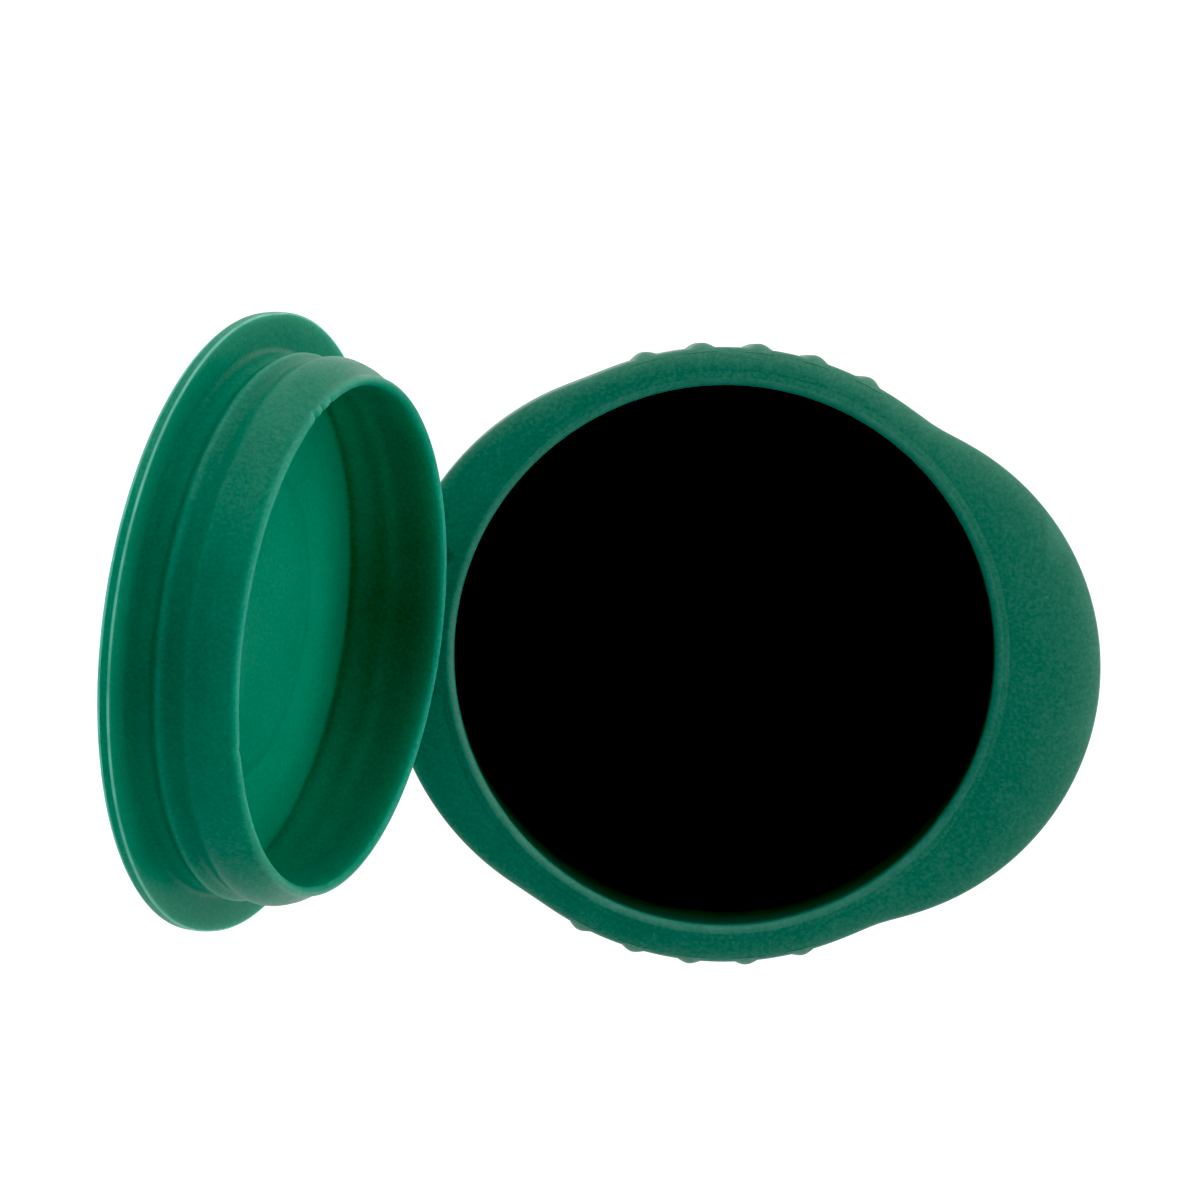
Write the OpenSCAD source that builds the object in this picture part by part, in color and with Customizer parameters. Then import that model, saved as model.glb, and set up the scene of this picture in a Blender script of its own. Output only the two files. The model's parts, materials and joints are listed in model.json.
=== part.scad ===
// Flip-lid vial: a round tube with an oval squeeze collar and a captive lid on a living hinge.
// Origin: centre of the base, on the surface that the vial stands on. +Z up, hinge towards -X.
// The lid is drawn open, at lid_open_angle from closed.

/* [Tube] */
// Height of the mouth's crest above the base
vial_h = 84; // [60:1:110]
// Bore of the mouth at its narrowest, the sealing lip
mouth_d = 41; // [38:0.5:42]
// Outside diameter of the tube under the collar
tube_d = 43.8; // [43.4:0.1:44.2]
// Outside diameter of the tube just above its heel
heel_d = 41.6; // [40:0.1:43]
// Thickness of the tube's wall
wall = 1.1; // [0.8:0.1:1.2]
// Thickness of the base
base_t = 1.3; // [1:0.1:1.8]
// Radius of the rounded heel between base and wall
heel_r = 1.2; // [0.6:0.1:1.6]

/* [Squeeze collar] */
// Radius of the collar at its two sides
collar_side_r = 23.4; // [23.2:0.1:24.5]
// Radius of the collar's narrower back
collar_back_r = 21.4; // [20.8:0.1:22]
// How far the back's centre lies behind the mouth's
collar_back_x = 4.3; // [3.5:0.1:4.5]
// Radius of the rounded guard at the front
guard_r = 19.3; // [18.5:0.1:20]
// How far the guard's centre lies ahead of the mouth's
guard_x = 9.5; // [8.5:0.1:10.5]
// Height of the collar from its lower edge to the crest
collar_h = 13; // [11:0.5:16]
// Thickness of the collar's skirt at the back and the front
skirt_t = 1.5; // [1.2:0.1:1.8]
// Thickness of the deck along the sides and the back
deck_t = 3; // [2.8:0.1:3.4]
// Thickness of the deck over the guard
guard_deck_t = 2; // [1.6:0.1:2.6]
// Radius of the shoulder along the sides and the back
shoulder_r = 1.4; // [1:0.1:2.6]
// Radius of the shoulder around the guard
guard_shoulder_r = 2.2; // [1.6:0.1:4]

/* [Grip ribs] */
// Number of ribs on each side
rib_count = 5; // [3:1:5]
// Angle between neighbouring ribs
rib_pitch = 10.7; // [8:0.1:11]
// Radius of each rib's rounded face
rib_r = 0.95; // [0.7:0.05:1.2]
// How far a rib stands proud of the skirt
rib_proud = 0.38; // [0.2:0.02:0.5]
// Length of a rib below its rounded end
rib_len = 9.8; // [5:0.1:10]

/* [Lid] */
// Angle that the lid is drawn at, measured from closed
lid_open_angle = 110.7; // [60:0.1:180]
// Outside diameter of the lid's flange
flange_d = 43.82; // [43:0.02:44]
// Outside diameter of the flange's wider back half
flange_back_d = 44.06; // [43.9:0.02:44.2]
// How far the back half's centre lies behind the mouth's
flange_back_x = 1.7; // [1:0.1:1.8]
// Thickness of the flange
flange_t = 0.95; // [0.8:0.05:1.2]
// Depth of the plug below the flange
plug_depth = 7.65; // [6:0.05:9]
// Outside diameter of the plug at its root
plug_root_d = 38.3; // [37.9:0.1:38.6]
// Outside diameter of the plug's widest belt, below the bead
plug_belt_d = 38.8; // [38.4:0.1:39]
// Depth of the belt's upper edge below the flange
plug_belt_depth = 4.3; // [4:0.1:4.6]
// Outside diameter of the plug at its rim
plug_rim_d = 36.7; // [36:0.1:37.4]
// Thickness of the plug's wall at the rim
plug_t = 0.7; // [0.6:0.05:0.9]
// Outside diameter of the sealing bead
bead_d = 39; // [38.8:0.02:39.3]
// Depth of the bead's crest below the flange
bead_depth = 2.3; // [2:0.1:2.4]
// Radius of the bead's rounded face
bead_r = 0.5; // [0.4:0.05:0.6]
// Radius of the raised disc on the lid's inner face
step_r = 11.5; // [9:0.1:13]

/* [Living hinge] */
// Distance of the hinge line behind the mouth's centre
hinge_x = 25.3; // [25:0.1:25.6]
// Depth of the hinge line below the crest
hinge_drop = 0.5; // [0.3:0.05:0.7]
// Width of the two lands that the web joins
hinge_w = 9; // [6:0.5:11]
// Thickness of the flexing web
web_t = 0.4; // [0.3:0.05:0.5]
// Length of web on each side of the hinge line
web_reach = 0.9; // [0.8:0.05:1]

/* [Hidden] */
$fn = 96;
fine_fn = 360;
moulding_green = [0.03, 0.42, 0.31];

mouth_r = mouth_d / 2;
tube_r = tube_d / 2;
heel_out_r = heel_d / 2;
heel_h = 2.6;
collar_z = vial_h - collar_h;

// The lip: a rounded crest, a short straight land, then a groove that the lid's bead sits in.
crest_r = 0.55;
land_top = vial_h - crest_r;
land_bottom = land_top - 1;
lip_out_r = mouth_r + 2 * crest_r;
lip_z = vial_h - 4.2;
groove_z = vial_h - 2.4;
groove_r = mouth_r + 0.5;

// The deck starts just below the crest, and is hollow underneath.
deck_z = vial_h - 0.1;
pocket_round = 1.2;
guard_pocket_round = 3;

// Notch in the back of the deck that the lid's tab swings in.
notch_w = hinge_w + 1.4;
notch_x = 22.4;
notch_z = vial_h - 2.2;

// Lid, measured from the underside of its flange when closed.
seat_gap = 0.2;
seat_z = vial_h + seat_gap;
hinge_z = vial_h - hinge_drop;
flange_r = flange_d / 2;
flange_back_r = flange_back_d / 2;
plug_root_r = plug_root_d / 2;
plug_belt_r = plug_belt_d / 2;
plug_rim_r = plug_rim_d / 2;
floor_z = 0.3;
step_h = 0.08;
rim_z = plug_t / 2 - plug_depth;
web_w = hinge_w - 1.4;
root_t = 1.2;
root_h = 5;

// Half outline, to be revolved, of a disc with a rounded upper edge.
module rounded_half(r, low, high, round_r) {
    translate([0, low]) square([r - round_r, high - low]);
    translate([0, low]) square([r, high - low - round_r]);
    translate([r - round_r, high - round_r]) circle(round_r, $fn = 32);
}

module rounded_disc(x, r, low, high, round_r) {
    translate([x, 0, 0]) rotate_extrude() rounded_half(r, low, high, round_r);
}

// Everything inside the collar's ring: the tube below, the narrower lip above.
module collar_bore() {
    translate([0, 0, collar_z - 1]) cylinder(r = tube_r, h = lip_z - collar_z + 1);
    translate([0, 0, lip_z - 1]) cylinder(r = lip_out_r, h = vial_h - lip_z + 2);
}

module guard_disc() {
    rounded_disc(guard_x, guard_r, collar_z, deck_z, guard_shoulder_r);
}

module hinge_notch() {
    translate([-notch_x - 10, -notch_w / 2, notch_z]) cube([10, notch_w, 5]);
}

module base_panel() {
    color(moulding_green) cylinder(r = heel_out_r - heel_r - 0.6, h = base_t);
}

// Rounded corner between the flat base and the upright wall.
module heel_ring() {
    inner_r = heel_out_r - heel_r - 0.6;
    color(moulding_green) rotate_extrude() difference() {
        translate([0, heel_h]) mirror([0, 1]) rounded_half(heel_out_r, 0, heel_h, heel_r);
        translate([0, -1]) square([inner_r, heel_h + 2]);
        translate([inner_r - 1, base_t]) square([heel_out_r - wall - inner_r + 1, heel_h]);
    }
}

// Tapered wall from the heel up to the collar, then straight up to the lip.
module vial_tube() {
    color(moulding_green) rotate_extrude() polygon([
        [heel_out_r - wall, heel_h], [heel_out_r, heel_h],
        [tube_r, collar_z], [tube_r, lip_z],
        [tube_r - wall, lip_z], [tube_r - wall, collar_z]]);
}

module mouth_lip() {
    color(moulding_green) rotate_extrude() {
        polygon([[tube_r - wall, lip_z], [lip_out_r, lip_z], [lip_out_r, deck_z],
                 [mouth_r + crest_r, vial_h], [mouth_r + crest_r, land_top],
                 [mouth_r, land_top], [mouth_r, land_bottom],
                 [groove_r, groove_z], [tube_r - wall, lip_z + 0.6]]);
        translate([mouth_r + crest_r, land_top]) circle(crest_r, $fn = 32);
    }
}

// Oval ring: deck and skirt along the sides and the back, open underneath.
module squeeze_collar() {
    color(moulding_green) difference() {
        hull() {
            rounded_disc(0, collar_side_r, collar_z, deck_z, shoulder_r, $fn = 64);
            rounded_disc(-collar_back_x, collar_back_r, collar_z, deck_z, shoulder_r, $fn = 64);
        }
        guard_disc();
        collar_bore();
        hinge_notch();
        hull() {
            rounded_disc(0, tube_r - 0.4, collar_z - 1, deck_z - deck_t, pocket_round, $fn = 64);
            rounded_disc(-collar_back_x, collar_back_r - skirt_t, collar_z - 1, deck_z - deck_t,
                         pocket_round, $fn = 64);
        }
    }
}

// Rounded crescent that shields the front edge of the lid, hollow underneath.
module front_guard() {
    color(moulding_green) difference() {
        guard_disc();
        collar_bore();
        rounded_disc(guard_x, guard_r - skirt_t, collar_z - 1, deck_z - guard_deck_t,
                     guard_pocket_round);
    }
}

// Upright ribs on one side; side is 1 for left (+Y) and -1 for right.
module grip_ribs(side) {
    rib_top = deck_z - shoulder_r - rib_r;
    color(moulding_green) difference() {
        for (i = [0 : rib_count - 1])
            rotate([0, 0, side * (90 + (i - (rib_count - 1) / 2) * rib_pitch)])
                translate([collar_side_r + rib_proud - rib_r, 0, 0]) {
                    translate([0, 0, rib_top - rib_len]) cylinder(r = rib_r, h = rib_len, $fn = 96);
                    translate([0, 0, rib_top]) sphere(rib_r, $fn = 96);
                }
        cylinder(r = collar_side_r, h = vial_h + 1, $fn = fine_fn);
    }
}

module grip_ribs_left() {
    grip_ribs(1);
}

module grip_ribs_right() {
    grip_ribs(-1);
}

// Upright land on the back of the collar that the web grows from.
module hinge_root() {
    root_top = hinge_z - web_reach;
    color(moulding_green) difference() {
        translate([-hinge_x - root_t / 2, -hinge_w / 2, root_top - root_h])
            cube([root_t, hinge_w, root_h]);
        translate([-collar_back_x, 0, 0]) cylinder(r = collar_back_r, h = notch_z, $fn = fine_fn);
    }
}

// Thin web, bent at the hinge line from the upright land to the direction of the open lid.
module living_hinge() {
    half_t = web_t / 2;
    tip = [web_reach * cos(lid_open_angle), web_reach * sin(lid_open_angle)];
    side = [half_t * sin(lid_open_angle), -half_t * cos(lid_open_angle)];
    bend = half_t / tan((lid_open_angle + 90) / 2);
    color(moulding_green) translate([-hinge_x, web_w / 2, hinge_z]) rotate([90, 0, 0])
        linear_extrude(web_w)
            polygon([[-half_t, -web_reach], [half_t, -web_reach], [half_t, -bend],
                     tip + side, tip - side, [-half_t, bend]]);
}

// Turns what is drawn for the closed lid, flange underside at z = 0, to the open position.
module open_lid() {
    translate([-hinge_x, 0, hinge_z]) rotate([0, -lid_open_angle, 0])
        translate([hinge_x, 0, seat_z - hinge_z]) children();
}

// Tab on the flange's back edge that the web runs into.
module hinge_leaf() {
    drop = seat_gap + hinge_drop;
    color(moulding_green) open_lid() difference() {
        translate([-hinge_x, hinge_w / 2, -drop]) rotate([90, 0, 0]) linear_extrude(hinge_w)
            polygon([[web_reach, -0.25], [web_reach, 0.3], [1.5, drop + flange_t],
                     [2.6, drop + flange_t], [2.6, drop], [1.6, -0.1]]);
        translate([-flange_back_x, 0, -2]) cylinder(r = flange_back_r, h = 6, $fn = fine_fn);
    }
}

// Flat rim that rests on the crest of the mouth, and widens a little towards the hinge.
module lid_flange() {
    color(moulding_green) open_lid() difference() {
        union() {
            rounded_disc(0, flange_r, 0, flange_t, 0.35);
            rounded_disc(-flange_back_x, flange_back_r, 0, flange_t, 0.35);
        }
        translate([0, 0, -1]) cylinder(r = plug_root_r, h = flange_t + 2);
    }
}

// Thin closing disc, a little thicker inside step_r.
module lid_panel() {
    color(moulding_green) open_lid() {
        translate([0, 0, floor_z]) cylinder(r = plug_root_r, h = flange_t - floor_z);
        translate([0, 0, floor_z - step_h]) cylinder(r = step_r, h = flange_t - floor_z);
    }
}

// Half outline of the plug's wall: a slim neck, a wider belt, and a taper to a rounded rim.
module plug_wall_half() {
    rim_x = plug_rim_r - plug_t / 2;
    polygon(concat(
        [[plug_root_r - 0.65, floor_z], [plug_root_r, floor_z], [plug_root_r, 0],
         [plug_root_r - 0.2, 0.8 - plug_belt_depth], [plug_belt_r, -plug_belt_depth],
         [plug_belt_r, -plug_belt_depth - 0.5]],
        [for (a = [0:-15:-180])
            [rim_x + plug_t / 2 * cos(a), rim_z + plug_t / 2 * sin(a)]]));
}

module plug_skirt() {
    color(moulding_green) open_lid() rotate_extrude() plug_wall_half();
}

// Bulge around the plug that snaps under the mouth's lip.
module seal_bead() {
    color(moulding_green) open_lid() rotate_extrude() difference() {
        translate([bead_d / 2 - bead_r, -bead_depth]) circle(bead_r, $fn = 32);
        plug_wall_half();
        translate([0, -plug_depth]) square([plug_rim_r, plug_depth]);
    }
}

base_panel();
heel_ring();
vial_tube();
mouth_lip();
squeeze_collar();
front_guard();
grip_ribs_left();
grip_ribs_right();
hinge_root();
living_hinge();
hinge_leaf();
lid_flange();
lid_panel();
plug_skirt();
seal_bead();
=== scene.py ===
import json
import math

import bmesh
import bpy
from mathutils import Matrix, Vector


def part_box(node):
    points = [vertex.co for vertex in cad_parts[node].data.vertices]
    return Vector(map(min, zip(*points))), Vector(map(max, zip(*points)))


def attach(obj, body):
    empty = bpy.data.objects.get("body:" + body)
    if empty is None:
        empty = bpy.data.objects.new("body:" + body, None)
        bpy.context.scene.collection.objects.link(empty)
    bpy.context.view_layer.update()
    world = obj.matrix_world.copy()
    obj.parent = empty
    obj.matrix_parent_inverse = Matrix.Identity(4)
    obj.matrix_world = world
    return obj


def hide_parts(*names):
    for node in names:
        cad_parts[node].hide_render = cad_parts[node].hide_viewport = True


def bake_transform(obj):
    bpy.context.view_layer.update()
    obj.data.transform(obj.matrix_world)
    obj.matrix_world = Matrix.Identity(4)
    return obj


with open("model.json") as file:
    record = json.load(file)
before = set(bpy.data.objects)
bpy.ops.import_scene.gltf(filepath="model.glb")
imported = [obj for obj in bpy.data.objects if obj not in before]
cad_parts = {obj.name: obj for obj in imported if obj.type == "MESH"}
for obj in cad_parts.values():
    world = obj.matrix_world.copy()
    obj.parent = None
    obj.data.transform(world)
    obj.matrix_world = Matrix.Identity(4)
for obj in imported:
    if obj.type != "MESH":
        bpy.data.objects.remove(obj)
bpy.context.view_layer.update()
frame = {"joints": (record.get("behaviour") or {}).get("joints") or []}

# Lengths below are millimetres unless a name says otherwise; meshes are made in metres.
MM = 0.001


# ---------------------------------------------------------------- sizes taken from the frame

def high(node):
    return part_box(node)[1] / MM


def low(node):
    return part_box(node)[0] / MM


HINGE = frame["joints"][0]
HINGE_POINT = Vector(HINGE["pos_m"]) / MM
OPEN_ANGLE = math.radians(-HINGE["range_deg"][0])

crest_z = high("mouth_lip").z
lip_z = low("mouth_lip").z
lip_out_r = high("mouth_lip").x
tube_r = high("vial_tube").x
heel_out_r = high("heel_ring").x
heel_h = high("heel_ring").z
base_t = high("base_panel").z
base_panel_r = high("base_panel").x
collar_z = low("squeeze_collar").z
deck_z = high("squeeze_collar").z
collar_side_r = high("squeeze_collar").y
collar_back = -low("squeeze_collar").x
guard_r = high("front_guard").y
guard_x = high("front_guard").x - guard_r
flange_back_r = high("lid_flange").y
plug_belt_r = high("plug_skirt").y
bead_r = high("seal_bead").y
hinge_w = high("hinge_root").y * 2
web_w = high("living_hinge").y * 2
root_top = high("hinge_root").z
rib_low = low("grip_ribs_left").z
rib_high = high("grip_ribs_left").z

# Sizes of small features, which the boxes don't give.
WALL = 1.1
MOUTH_R = 20.5
CREST_R = 0.55
LAND = 1.0
GROOVE_R = 21.0
GROOVE_DROP = 2.4
COLLAR_BACK_X = 4.3
SIDE_SHOULDER = 1.4
GUARD_SHOULDER = 2.2
PINCH_SOFTNESS = 0.6
SKIRT_T = 1.5
SKIRT_EDGE = 0.45
POCKET_DROP = 3.4
DECK_INSET = 0.02
NOTCH_HALF_W = 5.2
NOTCH_DROP = 2.1
RIB_COUNT = 5
RIB_PITCH = 10.7
RIB_PROUD = 0.38
RIB_HALF_W = 0.95
SEAT_GAP = 0.2
FLANGE_R = 21.91
FLANGE_BACK_X = 1.7
FLANGE_T = 0.95
FLOOR_Z = 0.3
STEP_R = 11.5
STEP_H = 0.08
PLUG_DEPTH = 7.65
PLUG_ROOT_R = 19.15
PLUG_NECK_R = 18.95
PLUG_RIM_R = 18.35
BELT_DEPTH = 4.3
NECK_BLEND = 1.1
PLUG_T = 0.7
PLUG_ROOT_T = 0.65
BEAD_DEPTH = 2.3
BEAD_HALF_W = 0.8
ROOT_FILLET = 0.5
WEB_T = 0.4
WEB_REACH = 0.9

# Turns a point of the closed lid, measured from its flange's underside, to the open position.
LID_SEAT = Vector((0, 0, crest_z + SEAT_GAP))
TO_OPEN = (Matrix.Translation(HINGE_POINT) @ Matrix.Rotation(-OPEN_ANGLE, 4, "Y")
           @ Matrix.Translation(LID_SEAT - HINGE_POINT))


# ---------------------------------------------------------------- mesh helpers

MERGE_M = 1e-7
SHARP_DEG = 38

# An edge starts to turn lighter, part worn and part painted highlight, at this curvature, per mm,
# and is fully lightened a span above it.
WEAR_AND_HIGHLIGHT_FROM = 0.6
WEAR_AND_HIGHLIGHT_SPAN = 1.6
LONGEST_WORN_AND_HIGHLIT_STEP = 0.5


def arc(centre_r, centre_z, radius, start, end, steps=8):
    """Points (r, z) along a circular arc, from angle start to angle end in degrees."""
    points = []
    for i in range(steps + 1):
        a = math.radians(start + (end - start) * i / steps)
        points.append((centre_r + radius * math.cos(a), centre_z + radius * math.sin(a)))
    return points


def line(start, end, steps):
    """Points from start towards end, without end, so that lines and arcs join up."""
    return [(start[0] + (end[0] - start[0]) * i / steps, start[1] + (end[1] - start[1]) * i / steps)
            for i in range(steps)]


def finish_mesh(name, verts, faces, place=None, wear_and_highlight=None, inside=None):
    """A smooth-shaded object from points in millimetres, with creases kept sharp.
    wear_and_highlight and inside give each point's share of edge lightening, part worn and part
    painted highlight, and of painted shade on the tube's inner wall."""
    mesh = bpy.data.meshes.new(name)
    if place is not None:
        verts = [place @ Vector(v) for v in verts]
    mesh.from_pydata([tuple(c * MM for c in v) for v in verts], [], faces)
    for label, values in (("wear_and_highlight", wear_and_highlight), ("inside", inside)):
        shares = mesh.attributes.new(label, "FLOAT", "POINT")
        shares.data.foreach_set("value", values or [0.0] * len(verts))
    bm = bmesh.new()
    bm.from_mesh(mesh)
    bmesh.ops.remove_doubles(bm, verts=bm.verts, dist=MERGE_M)
    bmesh.ops.recalc_face_normals(bm, faces=bm.faces)
    bm.to_mesh(mesh)
    bm.free()
    mesh.shade_smooth()
    mesh.set_sharp_from_angle(angle=math.radians(SHARP_DEG))
    obj = bpy.data.objects.new(name, mesh)
    bpy.context.scene.collection.objects.link(obj)
    return obj


def lathe(name, profile, place=None, columns=288, shift=None, rub_and_highlight=lambda r, z: 1.0):
    """Revolves a closed profile of (r, z) points about the mouth's axis.
    shift(angle, r, z) may return a changed (r, z), for dents that break the roundness.
    rub_and_highlight(r, z) scales the lightening on its convex edges, part worn and part painted
    highlight."""
    verts = []
    for c in range(columns):
        a = 2 * math.pi * c / columns
        for r, z in profile:
            if shift:
                r, z = shift(a, r, z)
            verts.append((r * math.cos(a), r * math.sin(a), z))
    faces = grid_faces(columns, len(profile), True, True)
    wear_and_highlight = [rub_and_highlight(r, z) * share for (r, z), share in zip(profile, edge_wear_and_highlight(profile))]
    # The inside attribute marks the tube's inner wall, which the material darkens with painted
    # shade.
    inside = [1.0 if place is None and in_bore(r, z) else 0.0 for r, z in profile]
    return finish_mesh(name, verts, faces, place, wear_and_highlight * columns, inside * columns)


def in_bore(r, z):
    """True on the vial's inner surfaces below the mouth's land; the tube narrows downwards."""
    share = min(max((z - heel_h) / (collar_z - heel_h), 0), 1)
    outside = heel_out_r + (tube_r - heel_out_r) * share
    return base_t - 0.01 < z < crest_z - CREST_R - LAND and r <= outside - WALL + 0.25


def edge_wear_and_highlight(profile):
    """Share of edge lightening, part worn and part painted highlight, at each profile point, from
    how tightly the outline curves outwards.
    """
    count = len(profile)
    area = sum(profile[i][0] * profile[(i + 1) % count][1]
               - profile[(i + 1) % count][0] * profile[i][1] for i in range(count))
    shares = []
    for i in range(count):
        a, b, c = (Vector(profile[k]) for k in ((i - 1) % count, i, (i + 1) % count))
        before, after = b - a, c - b
        reach = (before.length + after.length) / 2
        if before.length < 1e-6 or after.length < 1e-6 or reach > LONGEST_WORN_AND_HIGHLIT_STEP:
            shares.append(0.0)
            continue
        turn = math.atan2(before.x * after.y - before.y * after.x, before.dot(after))
        curve = turn / reach * (1 if area > 0 else -1)
        shares.append(min(max((curve - WEAR_AND_HIGHLIGHT_FROM) / WEAR_AND_HIGHLIGHT_SPAN, 0), 1))
    return shares


def grid_faces(columns, rows, wrap_columns, wrap_rows):
    faces = []
    for c in range(columns if wrap_columns else columns - 1):
        d = (c + 1) % columns
        for r in range(rows if wrap_rows else rows - 1):
            s = (r + 1) % rows
            faces.append((c * rows + r, d * rows + r, d * rows + s, c * rows + s))
    return faces


def loft(name, sections, place=None):
    """Joins sections, each a closed ring of the same number of points, and caps both ends."""
    rows = len(sections[0])
    verts = [p for section in sections for p in section]
    faces = grid_faces(len(sections), rows, False, True)
    faces.append(tuple(range(rows)))
    faces.append(tuple((len(sections) - 1) * rows + r for r in range(rows)))
    return finish_mesh(name, verts, faces, place)


def strap(name, outline, half_w, edge, place=None):
    """Extrudes an (x, z) outline across the hinge, and rounds its two sides by edge."""
    slices = []
    for i in range(5):
        a = math.pi / 2 * i / 4
        slices.append((half_w - edge * (1 - math.sin(a)), edge * (1 - math.cos(a))))
    centre = [sum(p[k] for p in outline) / len(outline) for k in (0, 1)]
    rings = []
    for y, inset in [(-y, i) for y, i in reversed(slices)] + slices:
        ring = []
        for x, z in outline:
            away = Vector((x - centre[0], z - centre[1]))
            pull = away.normalized() * min(inset, away.length * 0.6)
            ring.append((x - pull.x, y, z - pull.y))
        rings.append(ring)
    return loft(name, rings, place)


def stand_for(obj, body, slot, material, *nodes):
    """Puts a finished piece on its body in place of its CAD nodes."""
    obj.data.materials.clear()
    obj.data.materials.append(material)
    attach(obj, body)
    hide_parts(*nodes)
    return obj


# ---------------------------------------------------------------- the collar's surface

def smooth_max(a, b, softness):
    return (a + b + math.sqrt((a - b) ** 2 + softness ** 2)) / 2


def circle_reach(angle, centre_x, radius):
    """Distance from the mouth's axis to a circle centred at centre_x, along angle."""
    return (centre_x * math.cos(angle)
            + math.sqrt(radius ** 2 - (centre_x * math.sin(angle)) ** 2))


BACK_R = collar_back - COLLAR_BACK_X
TANGENT = math.pi - math.acos((collar_side_r - BACK_R) / COLLAR_BACK_X)


def outline_r(angle):
    """Radius of the collar's outline: two side arcs, a narrower back and the front guard."""
    a = abs((angle + math.pi) % (2 * math.pi) - math.pi)
    tangent_end = math.atan2(BACK_R * math.sin(TANGENT),
                             BACK_R * math.cos(TANGENT) - COLLAR_BACK_X)
    if a <= TANGENT:
        ring = collar_side_r
    elif a <= tangent_end:
        ring = collar_side_r / math.cos(a - TANGENT)
    else:
        ring = circle_reach(a, -COLLAR_BACK_X, BACK_R)
    if a > math.pi / 2:
        return ring
    return smooth_max(ring, circle_reach(a, guard_x, guard_r), PINCH_SOFTNESS)


def guard_share(angle):
    """0 along the sides and the back, rising smoothly to 1 at the front of the guard."""
    reach = outline_r(angle) - collar_side_r
    most = guard_x + guard_r - collar_side_r
    t = min(max(reach / most, 0), 1) if math.cos(angle) > 0 else 0
    return t * t * (3 - 2 * t)


def notch_depth(angle, r):
    """How far the deck dips for the hinge's tab, at a place behind the mouth."""
    if math.cos(angle) > 0:
        return 0
    side = abs(r * math.sin(angle))
    across = min(max((NOTCH_HALF_W + 0.5 - side) / 1.0, 0), 1)
    along = min(max((r - lip_out_r - 0.3) / 1.2, 0), 1)
    return NOTCH_DROP * across * across * (3 - 2 * across) * along * along * (3 - 2 * along)


def deck_point(angle, t):
    """Point of the collar's upper surface; t runs from 0 at the lip to 1 at the outline."""
    outer = outline_r(angle)
    inner = lip_out_r - 0.25
    reach = outer - inner
    shoulder = SIDE_SHOULDER + (GUARD_SHOULDER - SIDE_SHOULDER) * guard_share(angle)
    flat = max(reach - shoulder, 0)
    turn = t * math.pi / 2
    fall = 1 - math.cos(turn) ** (1 - 0.25 * flat / reach)
    return inner + reach * math.sin(turn), deck_z - DECK_INSET - shoulder * fall


def collar_section(angle):
    """Closed ring of (r, z): over the deck, down the skirt, and back up inside the pocket."""
    outer = outline_r(angle)
    ring = []
    steps = 22
    for i in range(steps + 1):
        r, z = deck_point(angle, i / steps)
        ring.append((r, z - notch_depth(angle, r)))
    edge = SKIRT_EDGE
    foot = collar_z + edge
    top = ring[-1][1]
    ring += line((outer, top), (outer, foot), 8)[1:]
    ring += arc(outer - edge, foot, edge, 0, -90, 5)
    inner = max(outer - SKIRT_T, tube_r - 0.1)
    ring += arc(inner + 0.3, collar_z + 0.3, 0.3, 270, 180, 3)
    pocket_top = crest_z - POCKET_DROP
    ring += line((inner, collar_z + 0.4), (inner, pocket_top - 0.8), 5)
    ring += arc(inner - 0.8, pocket_top - 0.8, 0.8, 0, 90, 5) if inner - tube_r > 1 else [
        (inner - 0.05 * i, pocket_top - 0.8 + 0.16 * i) for i in range(6)]
    ring.append((min(tube_r - 0.15, inner - 0.3), pocket_top))
    ring.append((lip_out_r - 0.25, pocket_top + 0.3))
    return ring


def collar_ring(name, start, end, step=0.75):
    """Lofts the collar between two angles in degrees."""
    count = max(int(round((end - start) / step)), 2)
    sections = []
    for i in range(count + 1):
        a = math.radians(start + (end - start) * i / count)
        sections.append([(r * math.cos(a), r * math.sin(a), z) for r, z in collar_section(a)])
    return loft(name, sections)


def rib(side, index):
    """Front and back grids of one upright rib, a soft bump on the skirt that fades out at
    both ends."""
    centre = math.radians(side * (90 + (index - (RIB_COUNT - 1) / 2) * RIB_PITCH))
    half = RIB_HALF_W * 1.25
    columns, rows = 20, 30
    verts = []
    for c in range(columns + 1):
        across = -1 + 2 * c / columns
        a = centre + across * half / collar_side_r
        bump = (1 - across ** 2) ** 1.5
        outer = outline_r(a)
        for k in range(rows + 1):
            t = k / rows
            z = rib_low + (rib_high + 1.0 - rib_low) * t
            ends = min(1, t * rows / 2.5) ** 0.5 * min(1, (1 - t) * rows / 4)
            ends = ends * ends * (3 - 2 * ends)
            drop = max(0, z - (deck_z - SIDE_SHOULDER))
            skirt = outer - SIDE_SHOULDER + math.sqrt(max(SIDE_SHOULDER ** 2 - drop ** 2, 0))
            r = skirt - 0.06 + (RIB_PROUD + 0.06) * bump * ends
            verts.append((r * math.cos(a), r * math.sin(a), z))
    back = [(v[0] * 0.985, v[1] * 0.985, v[2]) for v in verts]
    return columns + 1, rows + 1, verts, back


def rib_set(name, side):
    """All ribs of one side as closed solids in one piece."""
    verts, faces = [], []
    for index in range(RIB_COUNT):
        columns, rows, front, back = rib(side, index)
        base = len(verts)
        verts += front + back
        offset = base + len(front)
        for quad in grid_faces(columns, rows, False, False):
            faces.append(tuple(base + q for q in quad))
            faces.append(tuple(offset + q for q in reversed(quad)))
        border = ([c * rows for c in range(columns)]
                  + [(columns - 1) * rows + r for r in range(1, rows)]
                  + [c * rows + rows - 1 for c in range(columns - 2, -1, -1)]
                  + [r for r in range(rows - 2, 0, -1)])
        for i, b in enumerate(border):
            n = border[(i + 1) % len(border)]
            faces.append((base + b, base + n, offset + n, offset + b))
    return finish_mesh(name, verts, faces)


# ---------------------------------------------------------------- profiles

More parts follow.
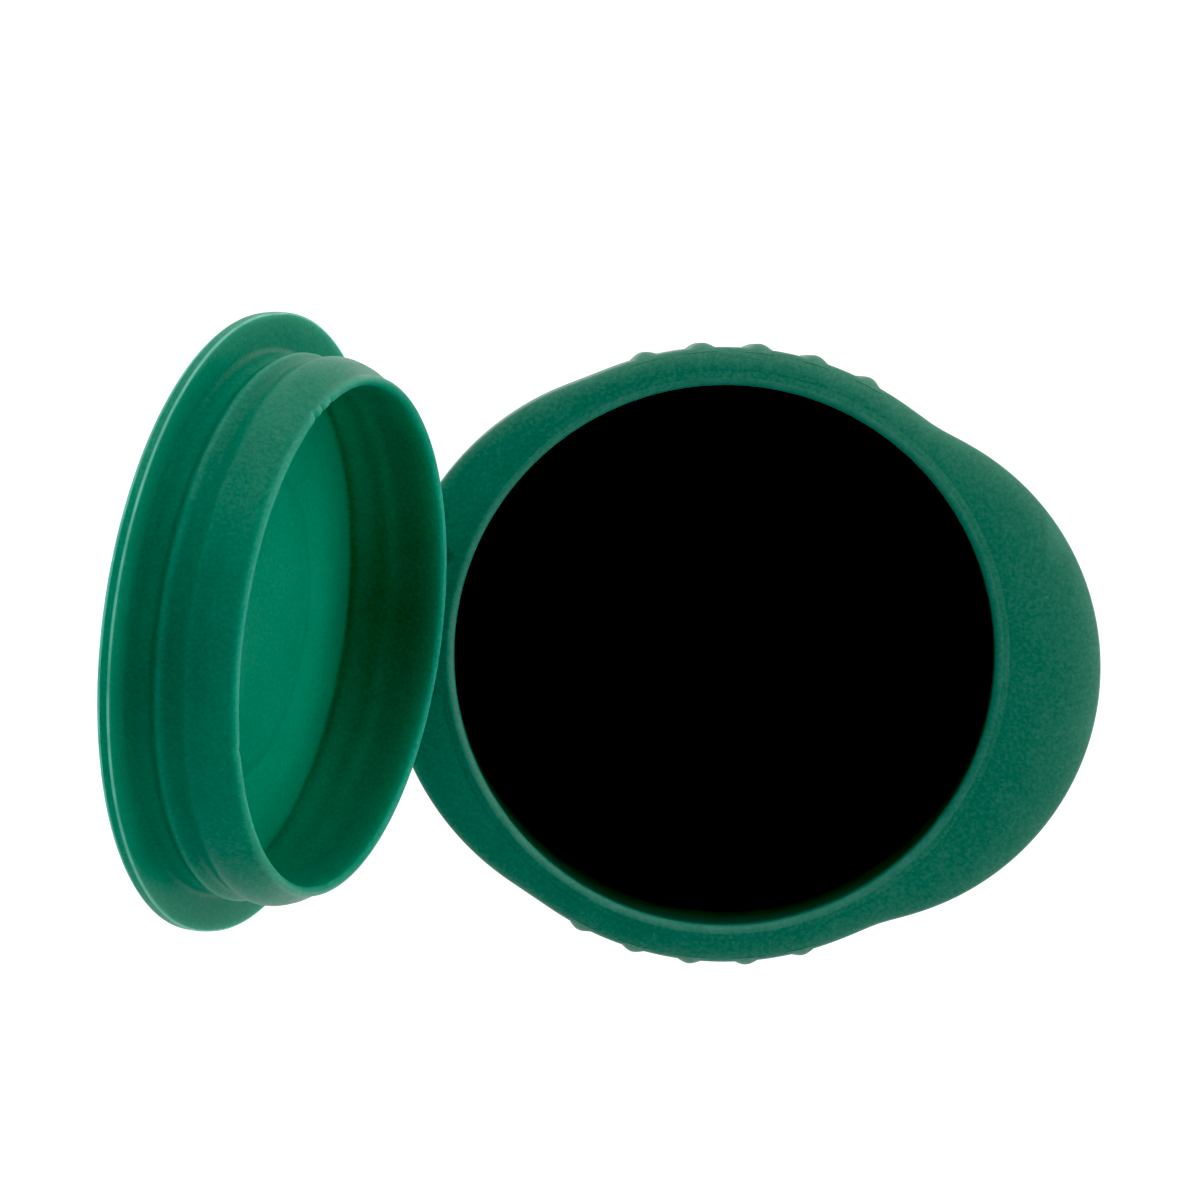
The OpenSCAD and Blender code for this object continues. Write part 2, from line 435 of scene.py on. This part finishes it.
def heel_profile():
    radius = heel_out_r
    corner = 1.2
    return (line((base_panel_r, 0), (radius - corner, 0), 3)
            + arc(radius - corner, corner, corner, -90, 0, 10)
            + line((radius, corner + 0.1), (radius, heel_h), 3)
            + [(radius, heel_h), (radius - WALL, heel_h), (radius - WALL, base_t + 0.5)]
            + arc(radius - WALL - 0.5, base_t + 0.5, 0.5, 0, -90, 5)
            + [(base_panel_r, base_t)])


def base_profile():
    """Flat base with a shallow recessed disc underneath and a small gate mark at its centre."""
    recess_r, recess, gate_r, gate = 13.0, 0.2, 1.6, 0.12
    return ([(0, recess - gate), (gate_r * 0.6, recess - gate)]
            + [(gate_r, recess), (recess_r - 0.3, recess)]
            + [(recess_r + 0.3, 0), (base_panel_r, 0), (base_panel_r, base_t)]
            + line((base_panel_r, base_t), (0, base_t), 12)[1:] + [(0, base_t)])


def tube_profile():
    return (line((heel_out_r, heel_h), (tube_r, collar_z), 40)
            + line((tube_r, collar_z), (tube_r, lip_z), 6) + [(tube_r, lip_z)]
            + line((tube_r - WALL, lip_z), (tube_r - WALL, collar_z), 6)
            + line((tube_r - WALL, collar_z), (heel_out_r - WALL, heel_h), 40)
            + [(heel_out_r - WALL, heel_h)])


def lip_profile():
    crest_centre = MOUTH_R + CREST_R
    land_top = crest_z - CREST_R
    inner = tube_r - WALL
    return ([(inner, lip_z), (inner, lip_z + 0.6)]
            + line((inner, lip_z + 0.6), (GROOVE_R, crest_z - GROOVE_DROP), 5)[1:]
            + arc(GROOVE_R - 0.3, crest_z - GROOVE_DROP + 0.1, 0.3, 0, 45, 4)
            + [(MOUTH_R, land_top - LAND), (MOUTH_R, land_top - LAND / 2)]
            + arc(crest_centre, land_top, CREST_R, 180, 80, 14)
            + [(lip_out_r - 0.3, crest_z - 0.035), (lip_out_r, deck_z), (lip_out_r, lip_z)])


def widen_back(angle, r, z):
    """The flange's outline: round at the front, and a little wider towards the hinge."""
    share = max((r - PLUG_ROOT_R - ROOT_FILLET) / (FLANGE_R - PLUG_ROOT_R - ROOT_FILLET), 0)
    outline = smooth_max(FLANGE_R - 0.02, circle_reach(angle, -FLANGE_BACK_X, flange_back_r), 0.1)
    return r + (outline - FLANGE_R) * share, z


def neck_r(z):
    """Radius of the plug's neck, with the soft bead around it."""
    slope = (PLUG_NECK_R - PLUG_ROOT_R) / (BELT_DEPTH - NECK_BLEND)
    s = (z + BEAD_DEPTH) / BEAD_HALF_W
    bump = (1 + math.cos(s * math.pi)) / 2 if abs(s) < 1 else 0
    proud = bead_r - 0.1 - (PLUG_ROOT_R + slope * BEAD_DEPTH)
    return PLUG_ROOT_R - slope * z + proud * bump


def plug_outer():
    """Outer side of the plug from the rim up to the flange: taper, belt and neck."""
    rim_z = PLUG_T / 2 - PLUG_DEPTH
    belt = -BELT_DEPTH
    neck = belt + NECK_BLEND
    rise = [(PLUG_NECK_R + (plug_belt_r - PLUG_NECK_R) * (1 + math.cos(math.pi * i / 12)) / 2,
             belt - 0.3 + (NECK_BLEND + 0.3) * i / 12) for i in range(12)]
    return (line((PLUG_RIM_R + 0.03, rim_z + 0.3), (plug_belt_r - 0.3, belt - 1.5), 8)
            + [(plug_belt_r - 0.3, belt - 1.5), (plug_belt_r - 0.15, belt - 1.1),
               (plug_belt_r - 0.04, belt - 0.7)]
            + rise + [(neck_r(z), z) for r, z in line((0, neck), (0, -ROOT_FILLET), 44)])


def lid_profile():
    """Half section of the lid as one moulding: floor, plug, flange and back."""
    rim_z = PLUG_T / 2 - PLUG_DEPTH
    rim_mid = PLUG_RIM_R - PLUG_T / 2
    root_in = PLUG_ROOT_R - PLUG_ROOT_T
    corner = 0.18
    top, bottom = 0.35, 0.16
    return ([(0, FLOOR_Z - STEP_H)]
            + line((1, FLOOR_Z - STEP_H), (STEP_R - 0.12, FLOOR_Z - STEP_H), 12)
            + [(STEP_R - 0.12, FLOOR_Z - STEP_H), (STEP_R, FLOOR_Z)]
            + line((STEP_R + 0.1, FLOOR_Z), (root_in - corner, FLOOR_Z), 8)
            + arc(root_in - corner, FLOOR_Z - corner, corner, 90, 0, 6)
            + line((root_in, FLOOR_Z - corner), (rim_mid - PLUG_T / 2, rim_z), 16)[1:]
            + arc(rim_mid, rim_z, PLUG_T / 2, -180, 0, 18)
            + plug_outer()
            + arc(neck_r(-ROOT_FILLET) + ROOT_FILLET, -ROOT_FILLET, ROOT_FILLET, 180, 90, 8)
            + line((PLUG_ROOT_R + ROOT_FILLET, 0), (FLANGE_R - bottom, 0), 6)[1:]
            + arc(FLANGE_R - bottom, bottom, bottom, -90, 0, 5)
            + arc(FLANGE_R - top, FLANGE_T - top, top, 0, 90, 7)
            + line((FLANGE_R - top, FLANGE_T), (0, FLANGE_T), 22)[1:] + [(0, FLANGE_T)])


def lid_rub_and_highlight(r, z):
    """The flange's edge is lightened most, part worn and part painted highlight; the plug's rim and
    bead only a little.
    """
    return 1.3 if z > -1 else 0.15


# Small knocks on the plug's rim: angle from the front in degrees, depth, and width in degrees.
RIM_KNOCKS = [(58, 0.28, 0.9), (61.5, 0.22, 0.7), (66, 0.14, 0.8), (-24, 0.10, 1.2)]


def knock_rim(angle, r, z):
    near_rim = min(max((-z - PLUG_DEPTH + 1.2) / 1.0, 0), 1)
    for place, depth, width in RIM_KNOCKS:
        away = (math.degrees(angle) - place + 180) % 360 - 180
        z += depth * near_rim * math.exp(-(away / width) ** 2)
    return r, z


# ---------------------------------------------------------------- materials

def plastic(name, pale=0.0, streaks=0.0, grain=1.0, glow=0.08, glow_depth=0.0008,
            redness=1.0, sheen=0.25):
    """Moulded polypropylene: slightly uneven colour, fine grain, edges lightened as part worn and
    part painted highlight, and flow streaks.
    glow is how much light scatters inside it. Noise scales are per metre, lengths in metres."""
    material = bpy.data.materials.new(name)
    material.use_nodes = True
    nodes, links = material.node_tree.nodes, material.node_tree.links
    shader = nodes["Principled BSDF"]
    shader.inputs["IOR"].default_value = 1.49
    shader.inputs["Specular IOR Level"].default_value = sheen
    shader.inputs["Subsurface Weight"].default_value = glow
    shader.inputs["Subsurface Radius"].default_value = (0.3, 1.1, 1.0)
    shader.inputs["Subsurface Scale"].default_value = glow_depth

    place = nodes.new("ShaderNodeTexCoord")

    def noise(scale, detail, rough, stretch=(1, 1, 1), offset=(0, 0, 0)):
        mapping = nodes.new("ShaderNodeMapping")
        mapping.inputs["Scale"].default_value = stretch
        mapping.inputs["Location"].default_value = offset
        links.new(place.outputs["Object"], mapping.inputs["Vector"])
        texture = nodes.new("ShaderNodeTexNoise")
        texture.inputs["Scale"].default_value = scale
        texture.inputs["Detail"].default_value = detail
        texture.inputs["Roughness"].default_value = rough
        links.new(mapping.outputs["Vector"], texture.inputs["Vector"])
        return texture.outputs["Fac"]

    def ramp(value, low_at, high_at, low_value=0.0, high_value=1.0):
        node = nodes.new("ShaderNodeMapRange")
        node.inputs["From Min"].default_value = low_at
        node.inputs["From Max"].default_value = high_at
        node.inputs["To Min"].default_value = low_value
        node.inputs["To Max"].default_value = high_value
        links.new(value, node.inputs["Value"])
        return node.outputs["Result"]

    def mix(factor, a, b):
        node = nodes.new("ShaderNodeMix")
        node.data_type = "RGBA"
        links.new(factor, node.inputs["Factor"])
        for socket, value in ((node.inputs["A"], a), (node.inputs["B"], b)):
            if isinstance(value, tuple):
                socket.default_value = (*value, 1)
            else:
                links.new(value, socket)
        return node.outputs["Result"]

    deep = (0.072 * redness, 0.218, 0.128)
    light = (0.086 * redness, 0.250, 0.149)
    rubbed = (0.18, 0.45, 0.335)
    # burnish_and_highlight lightens convex edges: part worn, part painted highlight.
    burnish_and_highlight = (0.25, 0.53, 0.42)
    # painted_bore_shade is painted shade for the tube's inner wall, not a colour of the plastic.
    painted_bore_shade = (0.012, 0.075, 0.045)

    cloudy = noise(90, 3, 0.55)
    colour = mix(ramp(cloudy, 0.35, 0.65), deep, light)
    grain_noise = noise(3600, 2, 0.7)
    colour = mix(ramp(grain_noise, 0.36, 0.70, 0, 0.28 * grain), colour, rubbed)
    dust = noise(1500, 2, 0.6, offset=(0.9, 0.4, 0.1))
    colour = mix(ramp(dust, 0.66, 0.80, 0, 0.22 * grain), colour, rubbed)
    scuff = noise(240, 4, 0.6, stretch=(1.0, 0.75, 0.85), offset=(0.3, 0.1, 0.2))
    colour = mix(ramp(scuff, 0.52, 0.78, 0, 0.14 + pale), colour, rubbed)
    # Painted shade: points marked inside turn towards painted_bore_shade, darkening the tube's
    # inner wall.
    inside = nodes.new("ShaderNodeAttribute")
    inside.attribute_name = "inside"
    colour = mix(ramp(inside.outputs["Fac"], 0, 1, 0, 0.50), colour, painted_bore_shade)
    # Convex edges, weighted by the wear_and_highlight attribute, turn towards
    # burnish_and_highlight: part worn, part painted highlight.
    wear_and_highlight = nodes.new("ShaderNodeAttribute")
    wear_and_highlight.attribute_name = "wear_and_highlight"
    patchy = noise(420, 3, 0.6, offset=(0.2, 0.8, 0.5))
    rubbing_and_highlight = nodes.new("ShaderNodeMath")
    rubbing_and_highlight.operation = "MULTIPLY"
    links.new(wear_and_highlight.outputs["Fac"], rubbing_and_highlight.inputs[0])
    links.new(ramp(patchy, 0.3, 0.7, 0.35, 0.75), rubbing_and_highlight.inputs[1])
    colour = mix(rubbing_and_highlight.outputs[0], colour, burnish_and_highlight)
    if streaks:
        flow = noise(500, 2, 0.5, stretch=(1.0, 0.10, 1.0), offset=(0.7, 0.2, 0.1))
        patch = noise(110, 2, 0.5, offset=(0.5, 0.6, 0.2))
        both = nodes.new("ShaderNodeMath")
        both.operation = "MULTIPLY"
        links.new(ramp(flow, 0.56, 0.70, 0, streaks), both.inputs[0])
        links.new(ramp(patch, 0.50, 0.62), both.inputs[1])
        colour = mix(both.outputs[0], colour, rubbed)
    links.new(colour, shader.inputs["Base Color"])

    links.new(ramp(scuff, 0.3, 0.7, 0.38, 0.52), shader.inputs["Roughness"])

    bump = nodes.new("ShaderNodeBump")
    bump.inputs["Strength"].default_value = 0.35
    bump.inputs["Distance"].default_value = 0.00003
    links.new(grain_noise, bump.inputs["Height"])
    links.new(bump.outputs["Normal"], shader.inputs["Normal"])
    return material


vial_plastic = plastic("vial polypropylene")
collar_plastic = plastic("collar polypropylene", streaks=0.18)
rib_plastic = plastic("grip polypropylene", pale=0.04)
web_plastic = plastic("web polypropylene", pale=0.25)
lid_plastic = plastic("lid polypropylene", pale=-0.07, grain=0.8, glow=0.85,
                      glow_depth=0.0028, redness=0.8, sheen=0.16)


# ---------------------------------------------------------------- the vial

BODY_SLOT = "green_polypropylene"
GRIP_SLOT = "green_polypropylene_grip"
LID_SLOT = "green_polypropylene_lid"

PINCH_ANGLE = 53.0

stand_for(lathe("base", base_profile()), "vial", BODY_SLOT, vial_plastic, "base_panel")
stand_for(lathe("heel", heel_profile()), "vial", BODY_SLOT, vial_plastic, "heel_ring")
stand_for(lathe("tube", tube_profile()), "vial", BODY_SLOT, vial_plastic, "vial_tube")
# The lip's crest gets lighter edges, part worn and part painted highlight.
stand_for(lathe("lip", lip_profile(), rub_and_highlight=lambda r, z: 0.42),
          "vial", BODY_SLOT, vial_plastic, "mouth_lip")
stand_for(collar_ring("collar", PINCH_ANGLE, 360 - PINCH_ANGLE),
          "vial", BODY_SLOT, collar_plastic, "squeeze_collar")
stand_for(collar_ring("guard", -PINCH_ANGLE, PINCH_ANGLE),
          "vial", BODY_SLOT, collar_plastic, "front_guard")
stand_for(rib_set("ribs_left", 1), "vial", GRIP_SLOT, rib_plastic, "grip_ribs_left")
stand_for(rib_set("ribs_right", -1), "vial", GRIP_SLOT, rib_plastic, "grip_ribs_right")


# ---------------------------------------------------------------- the living hinge

def root_outline():
    """Side view of the upright land: rounded on top, running down into the skirt's back."""
    left = low("hinge_root").x
    right = high("hinge_root").x
    foot = low("hinge_root").z
    skirt = -collar_back + 0.15
    soft = 0.3
    return ([(skirt, foot), (left + 0.1, foot + 0.5), (left, foot + 1.2), (left, root_top - soft)]
            + arc(left + soft, root_top - soft, soft, 180, 90, 4)
            + arc(right - soft, root_top - soft, soft, 90, 0, 4)
            + [(right, root_top - 1.0), (right + 0.4, root_top - 1.5), (right + 0.4, foot + 1.0)])


def leaf_outline():
    """Side view of the tab on the closed lid, in the lid's own frame."""
    drop = LID_SEAT.z - HINGE_POINT.z
    x, z = HINGE_POINT.x, -drop
    top = drop + FLANGE_T - 0.04
    points = [(WEB_REACH, -0.22), (1.55, -0.1), (2.3, drop + 0.05), (2.5, drop + 0.06), (2.5, top),
              (1.75, top), (1.4, top - 0.2), (WEB_REACH, 0.27)]
    return [(x + px, z + pz) for px, pz in points]


def web():
    """Thin strip that follows a smooth bend from the land to the tab."""
    start = Vector((0, -WEB_REACH - 0.15))
    end = Vector((math.cos(OPEN_ANGLE), math.sin(OPEN_ANGLE))) * (WEB_REACH + 0.15)
    path = []
    steps = 16
    for i in range(steps + 1):
        t = i / steps
        path.append(start * (1 - t) ** 2 + end * t ** 2)
    rings = []
    for i, p in enumerate(path):
        ahead = path[min(i + 1, steps)] - path[max(i - 1, 0)]
        normal = Vector((-ahead.y, ahead.x)).normalized()
        waist = WEB_T / 2 * (1 + 0.5 * (2 * i / steps - 1) ** 4)
        ring = []
        for y, share in ((-1, 0.5), (-1, -0.5), (1, -0.5), (1, 0.5)):
            q = p + normal * waist * share * 2
            ring.append((HINGE_POINT.x + q.x, y * web_w / 2, HINGE_POINT.z + q.y))
        rings.append(ring)
    return loft("hinge_web", rings)


stand_for(strap("hinge_land", root_outline(), hinge_w / 2, 0.5),
          "vial", BODY_SLOT, collar_plastic, "hinge_root")
stand_for(strap("hinge_tab", leaf_outline(), hinge_w / 2, 0.3, TO_OPEN),
          "lid", LID_SLOT, lid_plastic, "hinge_leaf")
web_piece = web()
web_piece.data.materials.append(web_plastic)
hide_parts("living_hinge")
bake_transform(web_piece)


# ---------------------------------------------------------------- the lid

def shape_lid(angle, r, z):
    """The lid's departures from round: knocks on the rim and the wider back."""
    return widen_back(angle, *knock_rim(angle, r, z))


stand_for(lathe("lid", lid_profile(), TO_OPEN, columns=540, shift=shape_lid, rub_and_highlight=lid_rub_and_highlight),
          "lid", LID_SLOT, lid_plastic, "lid_flange", "lid_panel", "plug_skirt", "seal_bead")


# ---------------------------------------------------------------- stage, light and camera

def stage_floor():
    """A white floor, in metres, that glows around the vial and fades further out."""
    size = 4.0
    sink = 0.0002
    glow_near, glow_far = 0.88, 0.30
    fade_from, fade_to = 0.10, 0.26
    mesh = bpy.data.meshes.new("floor")
    mesh.from_pydata([(-size, -size, 0), (size, -size, 0), (size, size, 0), (-size, size, 0)],
                     [], [(0, 1, 2, 3)])
    floor = bpy.data.objects.new("floor", mesh)
    bpy.context.scene.collection.objects.link(floor)
    material = bpy.data.materials.new("pale floor")
    material.use_nodes = True
    shader = material.node_tree.nodes["Principled BSDF"]
    nodes, links = material.node_tree.nodes, material.node_tree.links
    shader.inputs["Base Color"].default_value = (0.5, 0.5, 0.5, 1)
    shader.inputs["Roughness"].default_value = 0.9
    shader.inputs["Specular IOR Level"].default_value = 0.0
    shader.inputs["Emission Color"].default_value = (1, 1, 1, 1)
    place = nodes.new("ShaderNodeTexCoord")
    reach = nodes.new("ShaderNodeVectorMath")
    reach.operation = "LENGTH"
    links.new(place.outputs["Object"], reach.inputs[0])
    fade = nodes.new("ShaderNodeMapRange")
    fade.inputs["From Min"].default_value = fade_from
    fade.inputs["From Max"].default_value = fade_to
    fade.inputs["To Min"].default_value = glow_near
    fade.inputs["To Max"].default_value = glow_far
    links.new(reach.outputs["Value"], fade.inputs["Value"])
    links.new(fade.outputs["Result"], shader.inputs["Emission Strength"])
    mesh.materials.append(material)
    floor.location.z = -sink


def studio_world():
    """A white surround, brightest near the horizon and to the front left, and dark overhead."""
    horizon, zenith, falloff = 1.5, 0.29, 1.6
    key_share = 0.45
    key_direction = (0.55, 0.835, 0)
    world = bpy.data.worlds.new("studio")
    bpy.context.scene.world = world
    world.use_nodes = True
    nodes, links = world.node_tree.nodes, world.node_tree.links
    background = nodes["Background"]
    direction = nodes.new("ShaderNodeTexCoord")
    split = nodes.new("ShaderNodeSeparateXYZ")
    links.new(direction.outputs["Generated"], split.inputs["Vector"])
    away = nodes.new("ShaderNodeMapRange")
    away.inputs["From Min"].default_value = 0
    away.inputs["From Max"].default_value = 1
    away.inputs["To Min"].default_value = 1
    away.inputs["To Max"].default_value = 0
    links.new(split.outputs["Z"], away.inputs["Value"])
    power = nodes.new("ShaderNodeMath")
    power.operation = "POWER"
    power.inputs[1].default_value = falloff
    links.new(away.outputs["Result"], power.inputs[0])
    side = nodes.new("ShaderNodeMapRange")
    side.inputs["From Min"].default_value = -1
    side.inputs["To Min"].default_value = 1 - key_share
    side.inputs["To Max"].default_value = 1 + key_share
    towards = nodes.new("ShaderNodeVectorMath")
    towards.operation = "DOT_PRODUCT"
    towards.inputs[1].default_value = key_direction
    links.new(direction.outputs["Generated"], towards.inputs[0])
    links.new(towards.outputs["Value"], side.inputs["Value"])
    level = nodes.new("ShaderNodeMapRange")
    level.inputs["To Min"].default_value = zenith
    level.inputs["To Max"].default_value = horizon
    links.new(power.outputs[0], level.inputs["Value"])
    sided = nodes.new("ShaderNodeMath")
    sided.operation = "MULTIPLY"
    links.new(level.outputs["Result"], sided.inputs[0])
    links.new(side.outputs["Result"], sided.inputs[1])
    background.inputs["Color"].default_value = (1, 1, 1, 1)
    links.new(sided.outputs[0], background.inputs["Strength"])


def camera():
    """Looks down on the open mouth from a little behind and to the left of straight overhead."""
    aim = Vector((-9.9, 3.2, crest_z))
    away = 343.8
    tilt = math.radians(3.34)
    heading = math.radians(113.8)
    turn = math.radians(6.46)
    data = bpy.data.cameras.new("camera")
    data.lens = 136.5
    data.sensor_width = 36
    data.clip_start = 0.01
    data.clip_end = 20
    obj = bpy.data.objects.new("camera", data)
    bpy.context.scene.collection.objects.link(obj)
    offset = Vector((math.sin(tilt) * math.cos(heading), math.sin(tilt) * math.sin(heading),
                     math.cos(tilt))) * away
    back = offset.normalized()
    right = Vector((math.cos(turn), math.sin(turn), 0))
    right = (right - back * right.dot(back)).normalized()
    up = back.cross(right)
    place = Matrix((right, up, back)).transposed().to_4x4()
    place.translation = (aim + offset) * MM
    obj.matrix_world = place
    bpy.context.scene.camera = obj


def grade():
    """Plain display transform, with the deepest shadows taken down to black."""
    view = bpy.context.scene.view_settings
    view.view_transform = "Standard"
    view.use_curve_mapping = True
    view.curve_mapping.black_level = (0.050, 0.030, 0.022)
    view.curve_mapping.update()


stage_floor()
studio_world()
camera()
grade()
